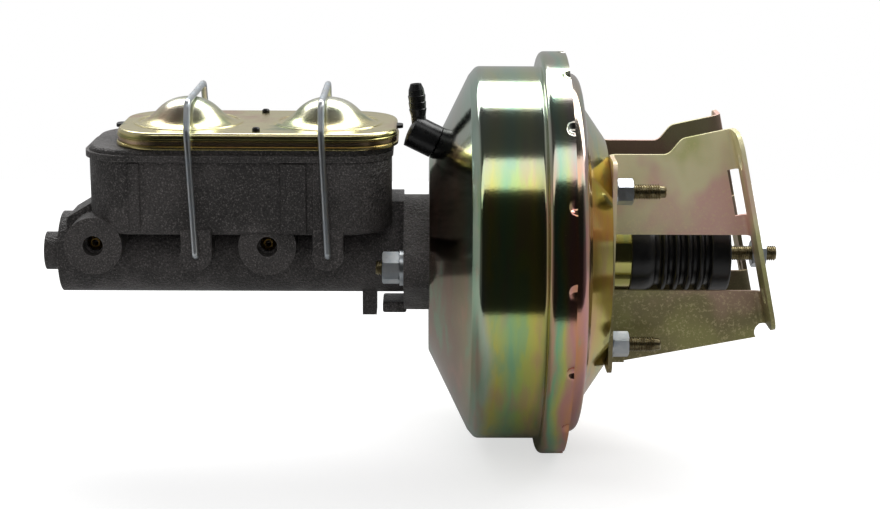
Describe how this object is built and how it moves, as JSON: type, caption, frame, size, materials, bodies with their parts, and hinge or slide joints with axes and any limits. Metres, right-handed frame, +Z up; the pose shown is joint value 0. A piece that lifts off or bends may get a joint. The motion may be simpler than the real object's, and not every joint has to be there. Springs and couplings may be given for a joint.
{
  "type": "brake booster with master cylinder",
  "caption": "Vacuum brake booster with a cast-iron dual-reservoir master cylinder, wire bails, angled firewall brackets, bellows boot and threaded push rod.",
  "frame": {"origin": "centre of the square of firewall holes, on the brackets' firewall face", "axes": "+X rearward along the booster's axis towards the pedal, +Z up, +Y to the side away from the outlet ports"},
  "size_m": [0.462, 0.254, 0.254],
  "materials": {
    "cast_iron": "as cast, fine grain, dark",
    "yellow_zinc_gloss": "glossy yellow zinc plate with green and pink iridescence",
    "yellow_zinc_satin": "satin yellow zinc plate",
    "bright_zinc": "bright zinc plate",
    "zinc_thread": "yellow zinc plated threads",
    "steel": "bare machined steel",
    "spring_steel": "drawn spring wire",
    "aluminium": "machined",
    "brass": "machined",
    "black_rubber": "matt black",
    "black_plastic": "moulded, slightly glossy",
    "grey_plastic": "moulded",
    "felt": "open felt"
  },
  "bodies": {
    "housing": {"master_cylinder_body": "cast_iron", "reservoir_cover": "yellow_zinc_gloss", "cover_gasket": "black_rubber", "tube_seats": "brass", "cylinder_nuts": "bright_zinc", "cylinder_washers": "bright_zinc", "piston_snap_ring": "spring_steel", "front_shell": "yellow_zinc_gloss", "rear_shell": "yellow_zinc_gloss", "front_studs": "zinc_thread", "rear_studs": "zinc_thread", "rear_washers": "bright_zinc", "rear_nuts": "bright_zinc", "check_valve_grommet": "black_rubber", "front_seal": "black_rubber", "hub_seal": "black_rubber", "return_spring": "spring_steel", "diaphragm": "black_rubber", "boot": "black_rubber", "secondary_spring": "spring_steel", "right_bracket": "yellow_zinc_satin", "left_bracket": "yellow_zinc_satin"},
    "power_piston": {"valve_body": "grey_plastic", "reaction_disc": "black_rubber", "output_rod": "steel", "diaphragm_plate": "steel", "poppet": "black_rubber", "air_filter": "felt"},
    "input_rod": {"input_pushrod": "zinc_thread", "air_valve_plunger": "steel", "jam_nut": "bright_zinc", "pushrod_spring": "spring_steel"},
    "primary": {"primary_piston": "aluminium", "primary_cups": "black_rubber", "primary_spring": "spring_steel"},
    "secondary": {"secondary_piston": "aluminium", "secondary_cups": "black_rubber"},
    "front_bail": {"front_bail": "bright_zinc"},
    "rear_bail": {"rear_bail": "bright_zinc"},
    "check_valve": {"check_valve": "black_plastic"}
  },
  "joints": [
    {"name": "power_piston_slide", "type": "slide", "parent": "housing", "child": "power_piston", "axis": [-1, 0, 0], "range_m": [0, 0.034], "stiffness_N_per_m": 2500, "springref_m": -0.03, "deforming": ["return_spring", "diaphragm", "boot"]},
    {"name": "input_rod_slide", "type": "slide", "parent": "power_piston", "child": "input_rod", "axis": [-1, 0, 0], "range_m": [0, 0.0015], "stiffness_N_per_m": 3000, "springref_m": -0.005, "deforming": ["pushrod_spring", "boot"]},
    {"name": "primary_piston_slide", "type": "slide", "parent": "housing", "child": "primary", "axis": [-1, 0, 0], "range_m": [0, 0.034], "deforming": ["primary_spring"]},
    {"name": "secondary_piston_slide", "type": "slide", "parent": "housing", "child": "secondary", "axis": [-1, 0, 0], "range_m": [0, 0.017], "deforming": ["secondary_spring", "primary_spring"]},
    {"name": "front_bail_hinge", "type": "hinge", "parent": "housing", "child": "front_bail", "pos_m": [-0.34126, 0, -0.0172], "axis": [0, -1, 0], "range_deg": [0, 40]},
    {"name": "rear_bail_hinge", "type": "hinge", "parent": "housing", "child": "rear_bail", "pos_m": [-0.26106, 0, -0.0172], "axis": [0, 1, 0], "range_deg": [0, 26]},
    {"name": "check_valve_swivel", "type": "hinge", "parent": "housing", "child": "check_valve", "pos_m": [-0.19526, 0, 0.0451], "axis": [-0.8983, 0, 0.4394], "range_deg": [-45, 45]}
  ],
  "couplings": [
    {"joint": "primary_piston_slide", "follows": "power_piston_slide", "ratio": 1},
    {"joint": "secondary_piston_slide", "follows": "power_piston_slide", "ratio": 0.5}
  ]
}
